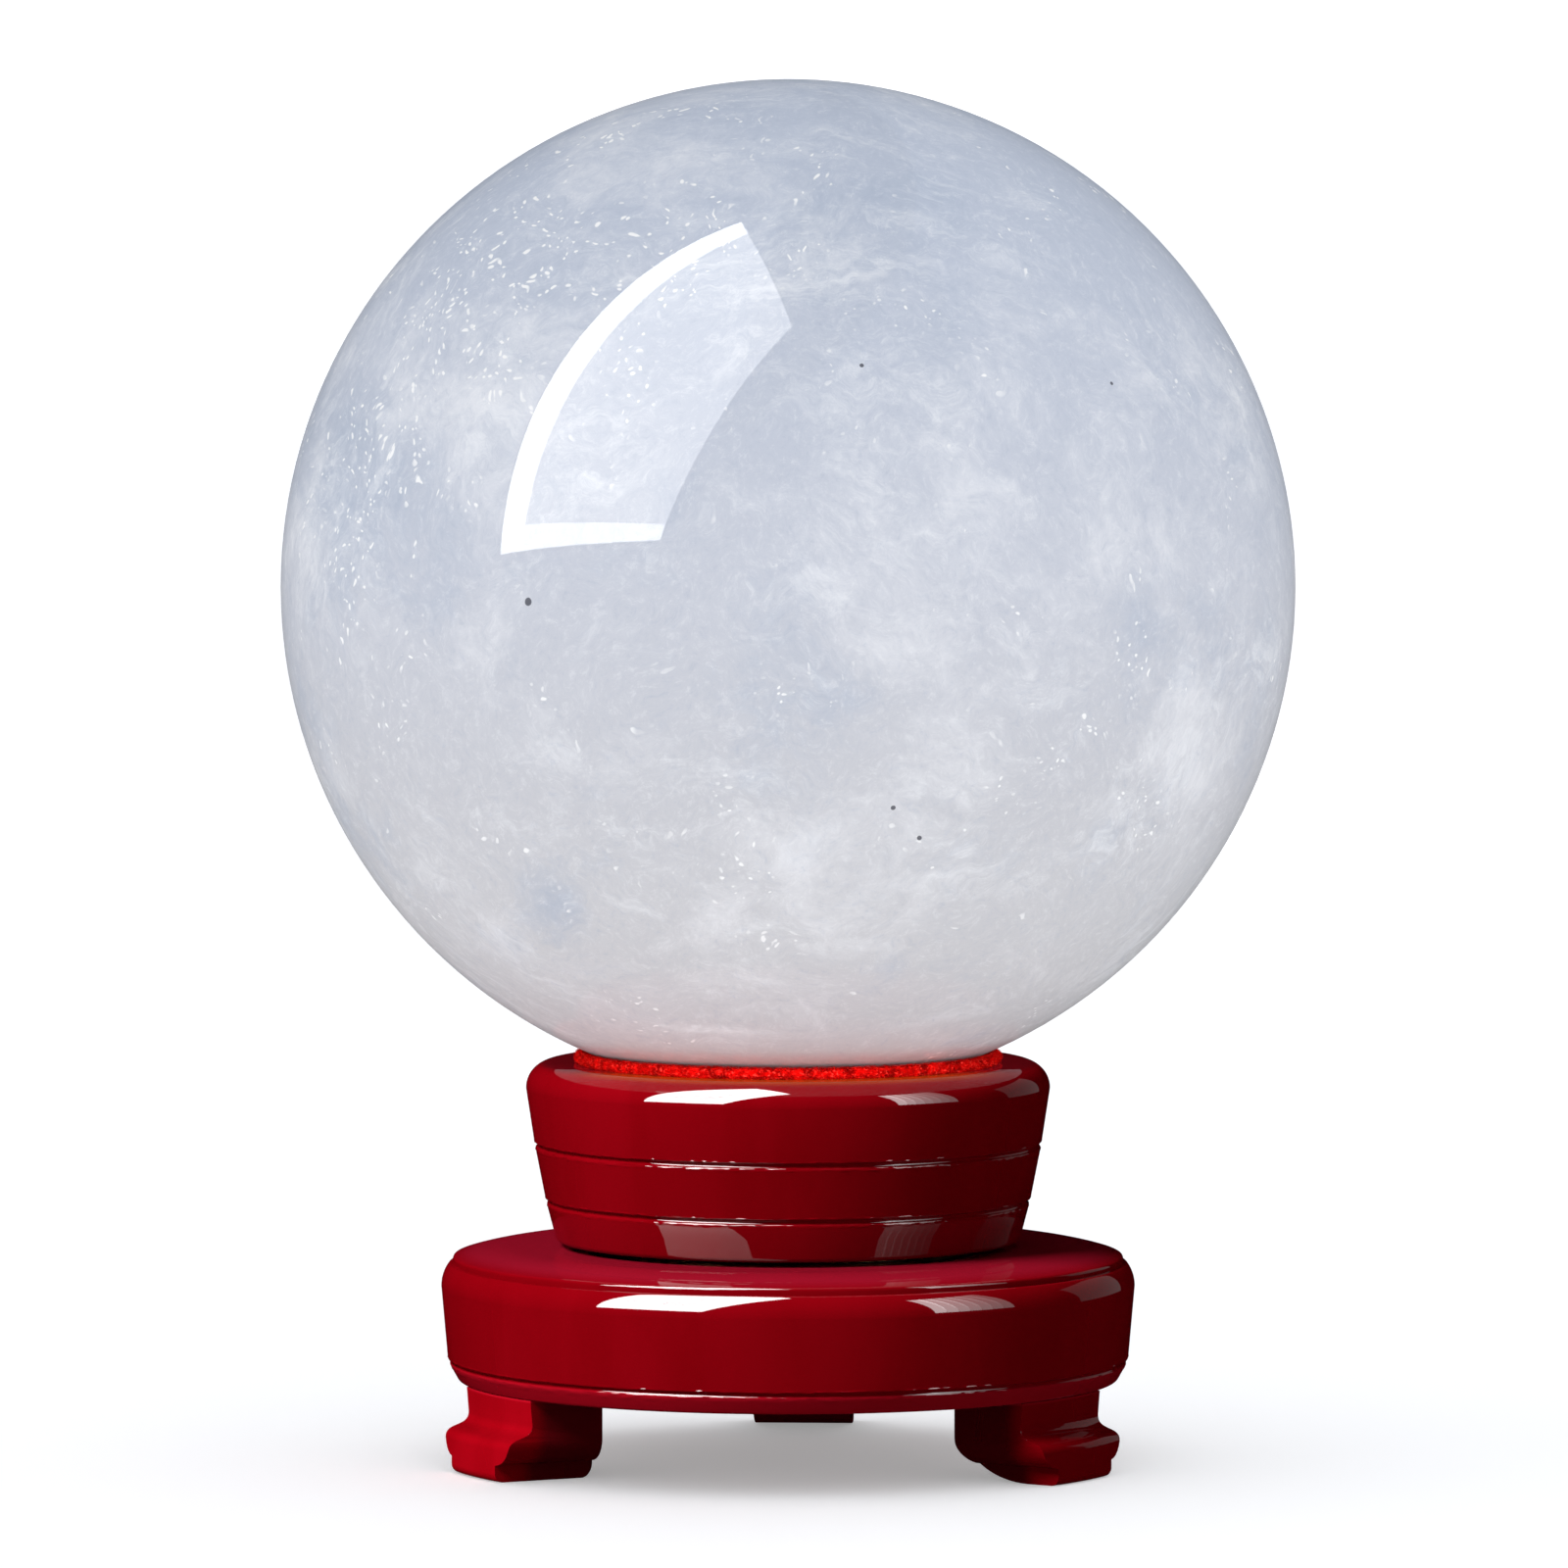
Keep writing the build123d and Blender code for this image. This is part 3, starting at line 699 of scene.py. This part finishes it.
def aimed_light(name, azimuth, elevation, distance, size, radiance, seen_in):
    """A rectangular light that faces the middle of the stand from an azimuth to the right of the camera."""
    target = Vector((0, 0, 0.025))
    turn, lift = math.radians(azimuth), math.radians(elevation)
    away = Vector((math.sin(turn) * math.cos(lift), -math.cos(turn) * math.cos(lift), math.sin(lift)))
    across = Vector((math.cos(turn), math.sin(turn), 0))
    return make_light(name, target + away * distance, across, away.cross(across), size, radiance, seen_in)


def make_lights(ball, pad, floor, feet):
    """A tall softbox with two hot edges on the left, a fading one on the right, and an even room."""
    width, length, edge = 0.58, 0.96, 0.06
    across, along = Vector((0.223, -0.953, 0.205)), Vector((0.477, 0.284, 0.831))
    centre = ball_centre + Vector((-0.279, -0.396, 0.536))
    edge_step = 0.004
    nearer = centre - across.cross(along).normalized() * edge_step
    side, foot = nearer - across * (width - edge) / 2, nearer - along * (length - edge) / 2
    on_ball_only = [make_light("key_softbox", centre, across, along, (width, length), 9.0, "glossy"),
                    make_light("key_hot_side", side, across, along, (edge, length), 16.5, "glossy"),
                    make_light("key_hot_foot", foot, across, along, (width, edge), 11.5, "glossy"),
                    make_light("ball_fill", centre, across, along, (width, length), 0.66, "diffuse")]
    for light in on_ball_only:
        flag(light, f"{light.name} pieces", [ball], "INCLUDE")
    off_ball = [make_light("stand_softbox", centre, across, along, (width, length), 42.0, "glossy"),
                aimed_light("stand_rim_light", 128, 12, 1.2, (0.7, 0.6), 0.35, "glossy")]
    for strip in range(7):
        name, azimuth, radiance = f"stand_right_strip_{strip}", 51 + 4.4 * strip, 14.0 * 0.76**strip
        off_ball.append(aimed_light(name, azimuth, 25, 1.0, (0.078, 0.72), radiance, "glossy"))
    for light in off_ball:
        flag(light, f"{light.name} pieces", [ball, floor], "EXCLUDE")
    stand_key = aimed_light("stand_key", -50, 44, 0.9, (0.35, 0.35), 125.0, "diffuse")
    flag(stand_key, "stand_key pieces", [ball, pad, floor], "EXCLUDE")
    pad_key = aimed_light("pad_key", -8, 3, 0.9, (1.4, 0.12), 64.0, "diffuse")
    flag(pad_key, "pad_key pieces", [pad], "INCLUDE")
    left_foot_key = aimed_light("left_foot_key", -62, 8, 0.8, (0.3, 0.2), 95.0, "diffuse")
    flag(left_foot_key, "left_foot_key pieces", [feet["front_left"]], "INCLUDE")
    foot_glints = aimed_light("foot_glints", 24, 10, 0.9, (0.12, 0.3), 30.0, "glossy")
    flag(foot_glints, "foot_glints pieces", feet.values(), "INCLUDE")
    world = bpy.data.worlds.new("studio")
    world.use_nodes = True
    background = world.node_tree.nodes["Background"]
    background.inputs["Color"].default_value = (0.95, 0.97, 1.0, 1.0)
    background.inputs["Strength"].default_value = 0.91
    world.cycles_visibility.glossy = False
    bpy.context.scene.world = world


def make_camera():
    """A long lens a little above the middle of the stand and ball."""
    distance, lift, aim = 1.2, 0.0734, Vector((-0.4 * MM, 0, 0.067))
    camera = bpy.data.objects.new("camera", bpy.data.cameras.new("camera"))
    camera.location = (0, -distance, aim.z + lift)
    camera.rotation_euler = (aim - camera.location).to_track_quat("-Z", "Y").to_euler()
    camera.data.lens = 279.6
    camera.data.sensor_width = 36.0
    camera.data.clip_end = 50
    bpy.context.scene.collection.objects.link(camera)
    bpy.context.scene.camera = camera


finishes = {
    "quartz": quartz_finish(),
    "flock": flock_finish(),
    "lacquered_wood": lacquer_finish(),
    "bare_wood": bare_wood_finish(),
    "plate_steel": metal_finish("zinc_plate", (0.62, 0.63, 0.64), (0.42, 0.43, 0.45), 0.35),
    "rivet_steel": metal_finish("rivet_steel", (0.58, 0.57, 0.55), (0.40, 0.39, 0.38), 0.30),
    "screw_steel": metal_finish("screw_steel", (0.66, 0.62, 0.50), (0.45, 0.41, 0.32), 0.28),
    "cage_brass": metal_finish("cage_brass", (0.46, 0.31, 0.13), (0.26, 0.17, 0.07), 0.45),
    "ball_steel": metal_finish("ball_steel", (0.78, 0.78, 0.80), (0.66, 0.66, 0.68), 0.08, 0.002 * MM),
}
dress_cad_nodes(finishes)
ball = make_ball(finishes["quartz"])
pad = make_pad(finishes["flock"])
make_cup(finishes["lacquered_wood"])
make_disc(finishes["lacquered_wood"])
feet = {}
for foot_place in ("front_right", "front_left", "rear"):
    feet[foot_place] = make_foot(foot_place, finishes["lacquered_wood"])
floor = make_floor(floor_finish())
make_lights(ball, pad, floor, feet)
make_camera()
bpy.context.scene.view_settings.view_transform = "Standard"
